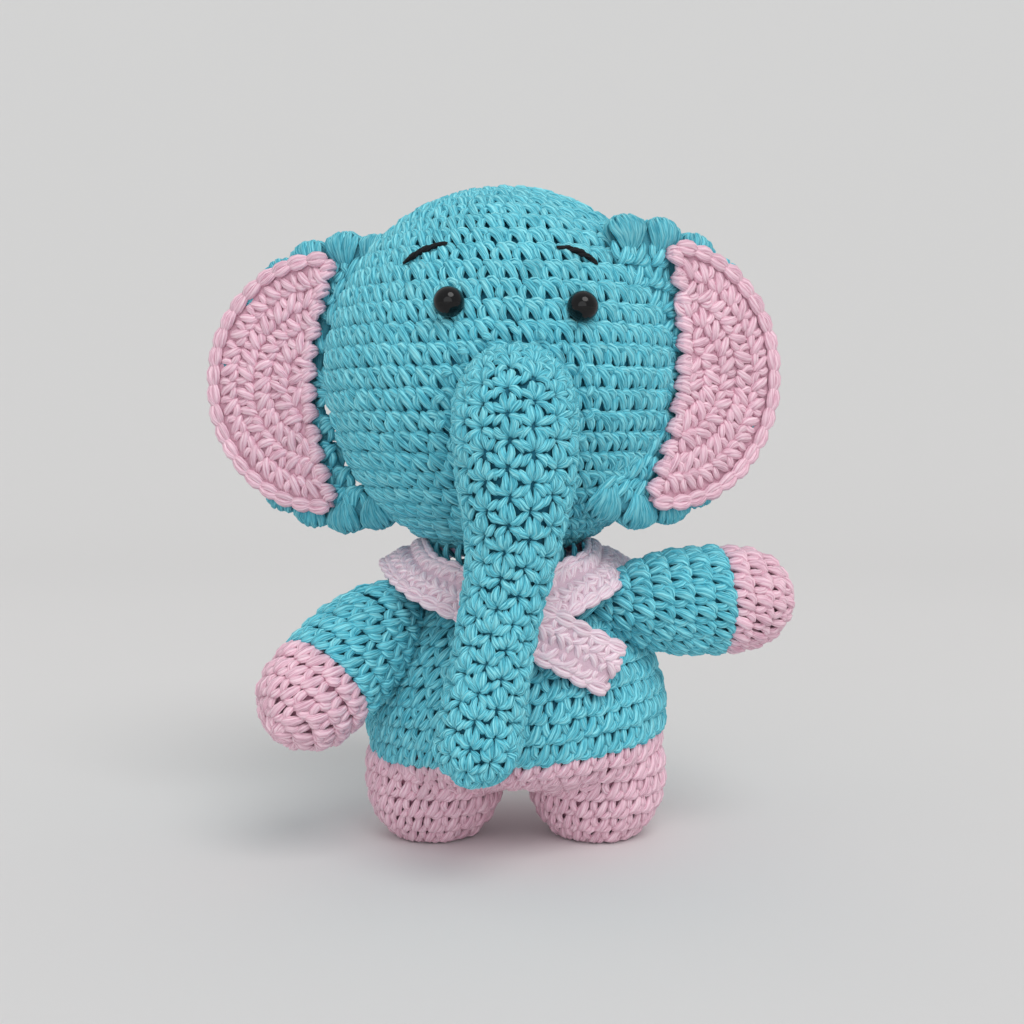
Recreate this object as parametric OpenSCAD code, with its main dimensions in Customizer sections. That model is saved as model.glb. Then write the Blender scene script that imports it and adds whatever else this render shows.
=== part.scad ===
// Crocheted stuffed elephant: hollow yarn shells with wadding inside, sewn together at soft joints.
// Front is -Y, up is +Z, the toy's resting soles are on Z = 0. Sizes are in millimetres.

/* [Head] */
// Half the width of the head
head_r = 37.9; // [35:0.1:39]
// Half the height of the head
head_h = 39; // [37:0.1:40]
// Height of the middle of the head above the floor
head_z = 98.9; // [98.5:0.1:101]
// How far the head leans sideways from the body
head_lean = -2.3; // [-4:0.1:2]

/* [Fabric] */
// Thickness of the worked yarn fabric
wall = 2.6; // [2:0.1:3.2]
// Gap left between the fabric and the wadding
fill_gap = 0.25; // [0.1:0.05:0.5]
// Running gap at every soft joint
joint_gap = 0.35; // [0.3:0.05:0.6]

/* [Body] */
// Half the width of the body at its widest
body_r = 32; // [29:0.1:33]
// Height at which the yarn changes colour
colour_change_z = 23; // [20:0.5:26]

/* [Legs] */
// Half the width of a leg
leg_r = 14.3; // [13:0.1:15]
// Sideways distance of a leg from the middle of the body
leg_x = 17.4; // [16:0.1:18]
// How far forward the legs stand
leg_y = -3.5; // [-5:0.1:0]
// Half the height of the leg's bulge
leg_h = 14.2; // [13:0.1:15]
// Height of the widest part of the leg
leg_z = 12.3; // [11.8:0.1:12.6]

/* [Trunk] */
// Height of the trunk's root
trunk_z = 89.5; // [87:0.1:92]
// Distance of the trunk's root in front of the head's middle
trunk_y = 43; // [42.5:0.1:45]
// Half the width of the trunk at its root
trunk_root_r = 11.6; // [10.5:0.1:12]
// Half the width of the trunk where it is slimmest
trunk_slim_r = 7.3; // [6.8:0.1:8]
// Half the width of the trunk's bulb near its tip
trunk_end_r = 7.9; // [7:0.1:8.2]

/* [Ears] */
// Height of the middle of the ears
ear_z = 96.9; // [96:0.1:98]
// Radius of the pink half moon
ear_front_r = 28.8; // [26:0.1:29]
// Radius of the blue half moon behind it
ear_back_r = 33.4; // [31:0.1:33.6]
// Thickness of the pink half moon
ear_front_t = 2.5; // [2:0.1:2.8]
// Thickness of the blue half moon
ear_back_t = 3.3; // [2.5:0.1:3.6]
// Angle of the left ear's sewn edge forward of the side of the head
left_ear_at = -3; // [-8:1:4]
// Angle by which the left ear's outer edge is turned back
left_ear_turn = 20; // [10:1:30]
// Angle of the right ear's sewn edge forward of the side of the head
right_ear_at = 23; // [16:1:24]
// Angle by which the right ear's outer edge is turned back
right_ear_turn = 28; // [18:1:30]

/* [Face] */
// Diameter of the bead eyes
eye_d = 6; // [5:0.5:7]
// Thickness of the embroidered brows
brow_d = 1.1; // [0.8:0.1:1.4]

/* [Arms] */
// Half the width of an arm at its widest
arm_r = 10.8; // [10:0.1:11]
// Length of an arm from the shoulder to the tip
arm_len = 43.4; // [43:0.1:45]
// Length of the blue sleeve
sleeve_len = 28; // [26:0.5:32]

/* [Scarf] */
// Width of the scarf strip
scarf_w = 11; // [10:0.1:11.5]
// Thickness of the scarf strip
scarf_t = 2.6; // [2.2:0.1:2.8]
// Length of the scarf's hanging end
scarf_tail_len = 25; // [20:0.5:27]

/* [Hidden] */
$fn = 64;

blue = [0.36, 0.75, 0.83];
pink = [0.88, 0.68, 0.78];
pale_pink = [0.90, 0.80, 0.85];
wadding = [0.95, 0.95, 0.93];
black = [0.03, 0.03, 0.04];

body_x = 0.8;
head_x = body_x + head_lean;
body_bottom = 12.5;
body_top = 61.5;

// Outline of the body from the bottom up, each entry a height and a share of body_r.
body_outline = [
  [body_bottom, 0], [12.7, 0.2], [13.2, 0.45], [14.6, 0.7], [17.2, 0.88], [21, 0.97], [26, 1], [31, 0.995],
  [37, 0.94], [43, 0.85], [49, 0.735], [54, 0.62], [58, 0.53], [60, 0.49], [body_top, 0.46]
];
// Outline of an arm from the shoulder out, each entry a distance and a share of arm_r.
arm_outline = [
  [0, 0.3], [4, 0.5], [9, 0.75], [14, 0.9], [20, 0.985], [26, 1], [31, 0.98], [35, 0.92], [38.4, 0.79],
  [41.1, 0.55], [42.8, 0.28], [arm_len, 0]
];

// Trunk: centres of its root and of the places lower down, with the half width at each.
trunk_root = [head_x + 2.1, -trunk_y, trunk_z];
trunk_places = [
  [trunk_root, trunk_root_r],
  [trunk_root + [0.1, -1.4, -11.5], trunk_root_r - 0.8],
  [trunk_root + [-0.7, -1.5, -25.5], trunk_slim_r + 1.1],
  [trunk_root + [-3.6, -1.2, -40.5], trunk_slim_r],
  [trunk_root + [-7.0, -1.6, -61], trunk_end_r]
];

// Ears: radius of the sewn edge's hinge line and the curve of that edge.
ear_hinge_r = head_r + 2.2;
ear_edge = 1.5;
ear_front_curve = 62;
ear_back_curve = 54;
ear_front_in = 1.3;
ear_back_in = ear_back_r - ear_front_r + ear_front_in;

// Arms: shoulder points and the directions in which they point.
left_shoulder = [-20.5, -9, 53.5];
left_arm_dir = [-0.588, -0.557, -0.588];
right_shoulder = [16, -14, 50.8];
right_arm_dir = [0.985, 0.165, 0.02];
left_arm_axis = [0.090726, 0.676111, -0.731192];
arm_travel = 35;

// Eyes and brows: sideways place from the head's middle and height.
left_eye_at = [-10, 110.7];
right_eye_at = [14.3, 110];
left_brow_at = [-15.3, 120.8];
right_brow_at = [14.1, 121];
left_brow_lean = 29;
right_brow_lean = -27;
brow_arc_r = 6.5;
brow_arc = 78;

// Scarf: radius, height and slope of the wrap, the points its front strips join, and the hanging end.
scarf_r = 21.8;
scarf_z = 60.3;
scarf_slope = 28;
scarf_left = [-19.5, -19, 57.4];
scarf_right = [17, -18.5, 59.5];
scarf_cross = [4.5, -30.6, 50];
scarf_turn = [6.5, -28.9, 53.9];
tail_top = [-0.5, -34.2, 51];
tail_drop = 28;
tail_swing = 19;

// The outline's middle is put over the origin.
ear_reach = ear_front_r - ear_front_in;
x_low = head_x - ear_hinge_r * cos(left_ear_at) - ear_reach * cos(left_ear_turn);
x_high = right_shoulder[0] + arm_len * right_arm_dir[0];
y_low = trunk_root[1] - trunk_root_r;
y_high = head_r;
shift = [-(x_low + x_high) / 2, -(y_low + y_high) / 2, 0];

function curve_at(a, b, c, d, t) =
  0.5 * (2 * b + (c - a) * t + (2 * a - 5 * b + 4 * c - d) * t * t + (3 * b - a - 3 * c + d) * t * t * t);
function clamp_at(p, i) = p[min(max(i, 0), len(p) - 1)];
function smoothed(p, k) = [
  for (i = [0:len(p) - 2])
    for (j = [0:k - 1])
      curve_at(clamp_at(p, i - 1), p[i], p[i + 1], clamp_at(p, i + 2), j / k),
  p[len(p) - 1]
];
// Turns height and share pairs into a revolved outline, drawn in by inset.
function revolve_points(p, r, inset, low, high) = concat(
  [[0, low]],
  [for (q = p) [max(q[1] * r - inset, 0), min(max(q[0], low), high)]],
  [[0, high]]
);
function ellipse_points(r, h, z, n) = [for (i = [0:n]) let (a = -90 + 180 * i / n) [r * cos(a), z + h * sin(a)]];
function unit(v) = v / norm(v);

module placed() {
  translate(shift) children();
}

// Stands children's +Z along v.
module along(v) {
  rotate([0, acos(v[2] / norm(v)), atan2(v[1], v[0])]) children();
}

module egg(r, h, z) {
  rotate_extrude() polygon(ellipse_points(r, h, z, 40));
}

module head_form(grow) {
  translate([head_x, 0, 0]) egg(head_r + grow, head_h + grow, head_z);
}

module body_form(inset) {
  translate([body_x, 0, 0])
    rotate_extrude()
      polygon(revolve_points(smoothed(body_outline, 3), body_r, inset, body_bottom + inset, body_top - inset));
}

module leg_form(side, inset) {
  translate([body_x + side * leg_x, leg_y, 0])
    intersection() {
      egg(leg_r - inset, leg_h - inset, leg_z);
      translate([-20, -20, inset]) cube([40, 40, 40]);
    }
}

module taper(from, to, r1, r2) {
  translate(from) along(to - from) cylinder(h = norm(to - from), r1 = r1, r2 = r2);
}

module trunk_form(inset) {
  for (i = [0:len(trunk_places) - 1])
    translate(trunk_places[i][0]) sphere(r = trunk_places[i][1] - inset);
  for (i = [1:len(trunk_places) - 1])
    taper(
      trunk_places[i - 1][0], trunk_places[i][0], trunk_places[i - 1][1] - inset - 0.05,
      trunk_places[i][1] - inset - 0.05
    );
}

module arm_form(inset) {
  rotate_extrude()
    polygon(revolve_points(smoothed(arm_outline, 3), arm_r, inset, inset, arm_len - inset));
}

module arm_place(shoulder, dir) {
  translate(shoulder) along(dir) children();
}

module arm_slice(from, to) {
  intersection() {
    difference() {
      arm_form(0);
      arm_form(wall);
    }
    translate([-20, -20, from]) cube([40, 40, to - from]);
  }
}

// One layer of an ear in the ear's own plane: x points outwards, y points back, z up.
module ear_layer(r, inward, curve, thickness, back) {
  translate([0, back, ear_z])
    difference() {
      translate([-inward, 0, 0]) rotate([-90, 0, 0]) cylinder(h = thickness, r = r, $fn = 96);
      translate([ear_edge - curve, -1, 0]) rotate([-90, 0, 0]) cylinder(h = thickness + 2, r = curve, $fn = 160);
    }
}

module ear_place(side, at, turn) {
  translate([head_x, 0, 0])
    mirror([side < 0 ? 1 : 0, 0, 0])
      rotate([0, 0, -at])
        translate([ear_hinge_r, 0, 0])
          rotate([0, 0, at + turn])
            children();
}

// Row of sewing stitches along the side of the head, in the plane of the sewn edge.
module ear_seam_form(side, at) {
  translate([head_x, 0, 0])
    mirror([side < 0 ? 1 : 0, 0, 0])
      rotate([0, 0, -at])
        intersection() {
          translate([ear_hinge_r - 1.15 - ear_back_curve, 0, ear_z])
            rotate([90, 0, 0])
              rotate_extrude($fn = 96) translate([ear_back_curve, 0]) circle(r = 0.8, $fn = 24);
          translate([20, -5, ear_z - 17]) cube([30, 10, 34]);
        }
}

function surface_point(at) =
  let (zz = (at[1] - head_z) / head_h, rr = head_r * sqrt(1 - zz * zz))
  [at[0], -sqrt(rr * rr - at[0] * at[0]), at[1]];
function surface_normal(at) =
  let (p = surface_point(at))
  unit([p[0] / (head_r * head_r), p[1] / (head_r * head_r), (p[2] - head_z) / (head_h * head_h)]);

module on_face(at) {
  translate(surface_point(at) + [head_x, 0, 0]) along(surface_normal(at)) children();
}

module eye_form(at) {
  on_face(at) {
    translate([0, 0, eye_d * 0.28]) sphere(r = eye_d / 2, $fn = 48);
    translate([0, 0, -wall - 4.2]) cylinder(h = wall + 5, r = 1.1, $fn = 24);
  }
}

module eye_hole(at) {
  on_face(at) {
    translate([0, 0, eye_d * 0.28]) sphere(r = eye_d / 2 + 0.1, $fn = 48);
    translate([0, 0, -wall - 2]) cylinder(h = wall + 3, r = 1.2, $fn = 24);
  }
}

module washer_form(at, grow) {
  on_face(at)
    translate([0, 0, -wall - 1.9 - grow])
      difference() {
        cylinder(h = 1.1 + 2 * grow, r = 4 + grow, $fn = 32);
        if (grow == 0) translate([0, 0, -1]) cylinder(h = 4, r = 1.15, $fn = 24);
      }
}

module brow_form(at, lean) {
  on_face(at)
    rotate([0, 0, lean])
      translate([brow_arc_r, 0, brow_d / 2 + 0.05])
        rotate([0, 0, 180 - brow_arc / 2])
          rotate_extrude(angle = brow_arc, $fn = 48)
            translate([brow_arc_r, 0])
              circle(d = brow_d, $fn = 20);
}

module scarf_section() {
  rotate(-scarf_slope)
    union() {
      square([scarf_w - scarf_t, scarf_t], center = true);
      for (side = [-1, 1])
        translate([side * (scarf_w - scarf_t) / 2, 0]) circle(d = scarf_t, $fn = 24);
    }
}

module scarf_ring() {
  translate([head_x + 0.1, 0, scarf_z])
    rotate_extrude($fn = 72) translate([scarf_r, 0]) scarf_section();
}

// Flat strip between two points, its width upright.
module scarf_strip(from, to, width) {
  translate(from)
    along(to - from)
      translate([-width / 2, -scarf_t / 2, 0])
        cube([width, scarf_t, norm(to - from)]);
}

// Room for an arm beside the scarf.
module arm_room(shoulder, dir, axis, turn) {
  translate(shoulder) rotate(a = turn, v = axis) along(dir) cylinder(h = 12, r1 = 4.2, r2 = 10.1);
}

module tail_form(grow) {
  translate(tail_top)
    rotate([0, tail_drop, tail_swing])
      translate([-grow, -scarf_t / 2 - grow, -scarf_w / 2 - grow])
        cube([scarf_tail_len + 2 * grow, scarf_t + 2 * grow, scarf_w + 2 * grow]);
}

module thread(from, to) {
  taper(from, to, 0.65, 0.65);
  translate(from) sphere(r = 0.7, $fn = 20);
  translate(to) sphere(r = 0.7, $fn = 20);
}

module head_shell() {
  color(blue)
    placed()
      difference() {
        head_form(0);
        head_form(-wall);
        translate(trunk_root) sphere(r = trunk_root_r + joint_gap);
        taper(trunk_root, trunk_places[1][0], trunk_root_r + joint_gap, trunk_places[1][1] + joint_gap);
        eye_hole(left_eye_at);
        eye_hole(right_eye_at);
      }
}

module head_stuffing() {
  color(wadding)
    placed()
      difference() {
        head_form(-wall - fill_gap);
        translate(trunk_root) sphere(r = trunk_root_r + joint_gap + fill_gap);
        washer_form(left_eye_at, 0.3);
        washer_form(right_eye_at, 0.3);
        on_face(left_eye_at) translate([0, 0, -wall - 5]) cylinder(h = 5, r = 1.4, $fn = 24);
        on_face(right_eye_at) translate([0, 0, -wall - 5]) cylinder(h = 5, r = 1.4, $fn = 24);
      }
}

module left_eye() {
  color(black) placed() eye_form(left_eye_at);
}

module right_eye() {
  color(black) placed() eye_form(right_eye_at);
}

module left_eye_washer() {
  color(wadding) placed() washer_form(left_eye_at, 0);
}

module right_eye_washer() {
  color(wadding) placed() washer_form(right_eye_at, 0);
}

module left_brow() {
  color(black) placed() brow_form(left_brow_at, left_brow_lean);
}

module right_brow() {
  color(black) placed() brow_form(right_brow_at, right_brow_lean);
}

module trunk_seam() {
  color(blue)
    placed()
      translate(trunk_root + [0, 3.9, 0])
        rotate([90, 0, 0])
          rotate_extrude(angle = 180, $fn = 64)
            translate([trunk_root_r + 0.5, 0])
              circle(r = 0.8, $fn = 20);
}

module left_ear_seam() {
  color(blue) placed() ear_seam_form(-1, left_ear_at);
}

module right_ear_seam() {
  color(blue) placed() ear_seam_form(1, right_ear_at);
}

module trunk_shell() {
  color(blue)
    placed()
      difference() {
        trunk_form(0);
        trunk_form(wall);
      }
}

module trunk_stuffing() {
  color(wadding) placed() trunk_form(wall + fill_gap);
}

module ear_front(side, at, turn) {
  color(pink)
    placed()
      ear_place(side, at, turn)
        ear_layer(ear_front_r, ear_front_in, ear_front_curve, ear_front_t, -ear_front_t);
}

module ear_back(side, at, turn) {
  color(blue)
    placed()
      ear_place(side, at, turn)
        ear_layer(ear_back_r, ear_back_in, ear_back_curve, ear_back_t, 0.05);
}

module left_ear_front() {
  ear_front(-1, left_ear_at, left_ear_turn);
}

module left_ear_back() {
  ear_back(-1, left_ear_at, left_ear_turn);
}

module right_ear_front() {
  ear_front(1, right_ear_at, right_ear_turn);
}

module right_ear_back() {
  ear_back(1, right_ear_at, right_ear_turn);
}

// Room that the joints and the resting left arm press into the body.
module body_presses(grow) {
  head_form(joint_gap + grow);
  arm_place(left_shoulder, left_arm_dir) arm_form(-joint_gap - grow);
  arm_place(right_shoulder, right_arm_dir) arm_form(-joint_gap - grow);
}

module body_shell() {
  difference() {
    body_form(0);
    body_presses(0);
    difference() {
      body_form(wall);
      body_presses(wall);
    }
  }
}

module torso_shell() {
  color(blue)
    placed()
      difference() {
        body_shell();
        translate([-60, -60, -1]) cube([120, 120, colour_change_z + 1]);
      }
}

module hips_shell() {
  color(pink)
    placed()
      intersection() {
        body_shell();
        translate([-60, -60, -1]) cube([120, 120, colour_change_z + 1]);
      }
}

module torso_stuffing() {
  color(wadding)
    placed()
      difference() {
        body_form(wall + fill_gap);
        body_presses(wall + fill_gap);
      }
}

module leg(side) {
  color(pink)
    placed()
      difference() {
        leg_form(side, 0);
        leg_form(side, wall);
        body_form(-0.02);
      }
}

module leg_stuffing(side) {
  color(wadding)
    placed()
      difference() {
        leg_form(side, wall + fill_gap);
        body_form(-fill_gap);
      }
}

module left_leg() {
  leg(-1);
}

module right_leg() {
  leg(1);
}

module left_leg_stuffing() {
  leg_stuffing(-1);
}

module right_leg_stuffing() {
  leg_stuffing(1);
}

module neck_seam() {
  color(blue)
    placed()
      translate([body_x, 0, 59.3])
        rotate_extrude($fn = 72) translate([17, 0]) circle(r = 0.5, $fn = 20);
}

module scarf_wrap() {
  color(pale_pink)
    placed()
      difference() {
        union() {
          scarf_ring();
          scarf_strip(scarf_left, scarf_cross, scarf_w - 2);
          scarf_strip(scarf_right, scarf_turn, scarf_w - 3);
        }
        arm_room(left_shoulder, left_arm_dir, left_arm_axis, 0);
        arm_room(left_shoulder, left_arm_dir, left_arm_axis, arm_travel);
        arm_room(right_shoulder, right_arm_dir, left_arm_axis, 0);
        tail_form(joint_gap);
      }
}

module scarf_tail() {
  color(pale_pink) placed() tail_form(0);
}

module left_sleeve() {
  color(blue) placed() arm_place(left_shoulder, left_arm_dir) arm_slice(0, sleeve_len);
}

module left_hand() {
  color(pink) placed() arm_place(left_shoulder, left_arm_dir) arm_slice(sleeve_len, arm_len);
}

module left_arm_stuffing() {
  color(wadding) placed() arm_place(left_shoulder, left_arm_dir) arm_form(wall + fill_gap);
}

module left_shoulder_thread() {
  color(blue) placed() thread(left_shoulder + [3.2, -6.4, 3.6], left_shoulder + [7.2, -8.6, 0.5]);
}

module right_sleeve() {
  color(blue) placed() arm_place(right_shoulder, right_arm_dir) arm_slice(0, sleeve_len);
}

module right_hand() {
  color(pink) placed() arm_place(right_shoulder, right_arm_dir) arm_slice(sleeve_len, arm_len);
}

module right_arm_stuffing() {
  color(wadding) placed() arm_place(right_shoulder, right_arm_dir) arm_form(wall + fill_gap);
}

module right_shoulder_thread() {
  color(blue) placed() thread(right_shoulder + [-5.5, -8, -1.2], right_shoulder + [0.5, -6.8, 3.0]);
}

head_shell();
head_stuffing();
left_eye();
right_eye();
left_eye_washer();
right_eye_washer();
left_brow();
right_brow();
trunk_seam();
left_ear_seam();
right_ear_seam();
trunk_shell();
trunk_stuffing();
left_ear_front();
left_ear_back();
right_ear_front();
right_ear_back();
torso_shell();
torso_stuffing();
hips_shell();
left_leg();
right_leg();
left_leg_stuffing();
right_leg_stuffing();
neck_seam();
scarf_wrap();
scarf_tail();
left_sleeve();
left_hand();
left_arm_stuffing();
left_shoulder_thread();
right_sleeve();
right_hand();
right_arm_stuffing();
right_shoulder_thread();
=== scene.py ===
"""A crocheted stuffed elephant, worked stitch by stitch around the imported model.

Every yarn part is a form: a surface walked in rounds from its starting point. Each stitch on it is
a few plump strands of yarn, laid on the form by a motif. Sizes are in millimetres until a mesh is
made, and places are in the part's own design coordinates.
"""
import math

import bpy
import numpy as np
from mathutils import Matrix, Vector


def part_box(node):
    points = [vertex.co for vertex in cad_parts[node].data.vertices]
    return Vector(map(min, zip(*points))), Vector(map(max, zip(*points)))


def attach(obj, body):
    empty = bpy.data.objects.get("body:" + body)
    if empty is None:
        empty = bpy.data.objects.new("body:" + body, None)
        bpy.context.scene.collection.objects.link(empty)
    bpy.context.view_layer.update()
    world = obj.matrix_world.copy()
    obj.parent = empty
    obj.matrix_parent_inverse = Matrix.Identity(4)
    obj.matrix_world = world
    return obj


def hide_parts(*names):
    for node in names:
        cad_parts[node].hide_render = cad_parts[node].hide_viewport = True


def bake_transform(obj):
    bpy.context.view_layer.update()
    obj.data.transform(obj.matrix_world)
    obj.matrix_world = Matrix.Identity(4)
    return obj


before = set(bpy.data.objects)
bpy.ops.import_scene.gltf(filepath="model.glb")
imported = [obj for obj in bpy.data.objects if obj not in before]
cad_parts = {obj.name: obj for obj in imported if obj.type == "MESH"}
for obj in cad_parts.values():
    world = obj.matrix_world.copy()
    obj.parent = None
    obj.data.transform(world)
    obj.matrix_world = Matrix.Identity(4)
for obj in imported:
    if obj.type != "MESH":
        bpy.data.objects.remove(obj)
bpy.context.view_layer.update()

MM = 0.001
DEG = math.pi / 180
rng = np.random.default_rng(41)

# ---------------------------------------------------------------------------- places and sizes

HEAD_X, HEAD_Z, HEAD_R, HEAD_H = -1.5, 98.9, 37.9, 39.0
BODY_X, BODY_R = 0.8, 32.0
COLOUR_CHANGE_Z = 23.0
ROUND_TILT = 3.0        # the body's rounds are this much higher at the right
LEG_REACH = 24.0        # no leg shows above this height
LEG_R, LEG_H, LEG_Z, LEG_X, LEG_Y = 14.3, 14.2, 12.3, 17.4, -3.5
ARM_R, ARM_LEN, SLEEVE_LEN = 10.8, 43.4, 28.0
TRUNK_ROOT = np.array([0.6, -43.0, 89.5])
EAR_Z, EAR_HINGE_R = 96.9, 40.1
SCARF_W, SCARF_STITCH = 11.0, 3.9

BODY_OUTLINE = [
    (0, 12.5), (0.2, 12.7), (0.45, 13.2), (0.7, 14.6), (0.88, 17.2), (0.97, 21), (1, 26), (0.995, 31),
    (0.94, 37), (0.85, 43), (0.735, 49), (0.62, 54), (0.53, 58), (0.3, 59.3), (0, 59.5),
]
ARM_OUTLINE = [
    (0, 0), (0.28, 0.6), (0.55, 2.3), (0.79, 5.0), (0.92, 8.4), (0.98, 12.4), (1, 17.4), (0.985, 23.4),
    (0.9, 29.4), (0.75, 34.4), (0.5, 39.4), (0.3, 43.4), (0, 43.6),
]
LEFT_ARM = {"shoulder": (-20.5, -9, 53.5), "dir": (-0.588, -0.557, -0.588)}
RIGHT_ARM = {"shoulder": (16, -14, 50.8), "dir": (0.985, 0.165, 0.02)}

head_low, head_high = (np.array(corner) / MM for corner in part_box("head_shell"))
SHIFT = (head_low + head_high) / 2 - np.array([HEAD_X, 0, HEAD_Z])
SHIFT[2] = 0


def row_point(p):
    """A design point in millimetres as a point of the row frame in metres."""
    return tuple((np.array(p, float) + SHIFT) * MM)


def unit(v):
    v = np.asarray(v, float)
    return v / np.maximum(np.linalg.norm(v, axis=-1, keepdims=True), 1e-9)


def smooth_line(points, steps):
    """Catmull-Rom line through points, with steps pieces between each two."""
    p = np.array(points, float)
    p = np.concatenate([2 * p[:1] - p[1:2], p, 2 * p[-1:] - p[-2:-1]])
    t = np.linspace(0, 1, steps, endpoint=False)[:, None]
    rows = [
        0.5 * (2 * b + (c - a) * t + (2 * a - 5 * b + 4 * c - d) * t**2 + (3 * b - a - 3 * c + d) * t**3)
        for a, b, c, d in zip(p[:-3], p[1:-2], p[2:-1], p[3:])
    ]
    return np.concatenate(rows + [p[-2:-1]])


# ---------------------------------------------------------------------------------------- forms

class Form:
    """A surface walked in rounds: angle goes round it, v is the way along it and h is above it."""

    def __init__(self, v, centre, radius, e1, e2, along, out, lift, press=None):
        self.v = v
        self.table = np.column_stack([centre, radius, e1, e2, along, out, lift])
        self.length = v[-1]
        self.press = press

    def radius(self, v):
        return np.interp(v, self.v, self.table[:, 3])

    def at(self, angle, v, h):
        angle, v, h = np.broadcast_arrays(angle, v, h)
        v = np.clip(v, 0, self.length)
        cols = [np.interp(v, self.v, column) for column in self.table.T]
        centre, e1, e2, along = (np.stack(cols[i:i + 3], -1) for i in (0, 4, 7, 10))
        out, lift = cols[13][..., None], cols[14][..., None]
        radial = np.cos(angle)[..., None] * e1 + np.sin(angle)[..., None] * e2
        normal = unit(out * radial + lift * along)
        point = centre + cols[3][..., None] * radial
        if self.press is not None:
            point = self.press(point, normal)
        return point + h[..., None] * normal, normal


def revolved(outline, origin, axis=(0, 0, 1), e1=(1, 0, 0), press=None):
    """Form turned about an axis, from (radius, height) pairs walked from the starting pole."""
    outline = np.array(outline, float)
    walked = np.concatenate([[0], np.cumsum(np.hypot(*np.diff(outline, axis=0).T))])
    v = np.linspace(0, walked[-1], 500)
    radius, height = np.interp(v, walked, outline[:, 0]), np.interp(v, walked, outline[:, 1])
    way = 1 if height[-1] >= height[0] else -1
    axis, e1 = unit(axis), unit(e1)
    centre = np.array(origin, float) + height[:, None] * axis
    ones = np.ones((len(v), 1))
    return Form(
        v, centre, radius, ones * e1, ones * np.cross(axis, e1), ones * axis,
        way * np.gradient(height, v), -way * np.gradient(radius, v), press,
    )


def swept(points, radii, side=(1, 0, 0)):
    """Form along a smooth line, with a round end. v is measured along its front."""
    line = smooth_line([tuple(p) + (r,) for p, r in zip(points, radii)], 30)
    spine, radius = line[:, :3], line[:, 3]
    along = unit(np.gradient(spine, axis=0))
    turn = np.linspace(0, math.pi / 2, 24)[1:, None]
    spine = np.concatenate([spine, spine[-1] + along[-1] * radius[-1] * np.sin(turn)])
    radius = np.concatenate([radius, radius[-1] * np.cos(turn[:, 0])])
    along = np.concatenate([along, np.repeat(along[-1:], len(turn), 0)])
    e1 = unit(np.array(side, float) - (along @ np.array(side, float))[:, None] * along)
    e2 = np.cross(along, e1)
    front = spine + radius[:, None] * e2
    walked = np.linalg.norm(np.diff(front, axis=0), axis=1)
    v = np.concatenate([[0], np.cumsum(walked)])
    moved = np.sum(np.gradient(spine, v, axis=0) * along, axis=1)
    return Form(v, spine, radius, e1, e2, along, moved, -np.gradient(radius, v))


class Strip:
    """A flat band along a line: u is the way along it, v the way across and h above it."""

    def __init__(self, points, across, normal):
        line = smooth_line(np.column_stack([points, across, normal]), 16)
        walked = np.linalg.norm(np.diff(line[:, :3], axis=0), axis=1)
        self.u = np.concatenate([[0], np.cumsum(walked)])
        self.table = line
        self.length = self.u[-1]

    def at(self, u, v, h):
        u, v, h = np.broadcast_arrays(u, v, h)
        cols = [np.interp(u, self.u, column) for column in self.table.T]
        centre, across, normal = (np.stack(cols[i:i + 3], -1) for i in (0, 3, 6))
        across, normal = unit(across), unit(normal)
        return centre + v[..., None] * across + h[..., None] * normal, normal


# -------------------------------------------------------------------------------- yarn meshes

SAMPLES, SIDES = 6, 12
RIDGE = 0.09            # how far a strand's plies stand out, as a share of its width
CAP = 0.55              # how far its pointed end reaches, as a share of its width
INSET = 0.6             # how far stitches sink below their form
SEAM_BOW, SEAM_HALF = 0.9, 0.72
LINING_DEPTH = 1.15
# The lining is darkened almost wholly to the painted shade colour: the shade seen in the gaps between
# stitches.
LINING_SHADE_DEPTH = -2.0
LINING_UV = (40.0, 60.0)


def spread(points, samples):
    """Points of a motif's strand, sampled evenly on a smooth line."""
    line = smooth_line(points, 12)
    return line[np.linspace(0, len(line) - 1, samples).round().astype(int)]


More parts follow.
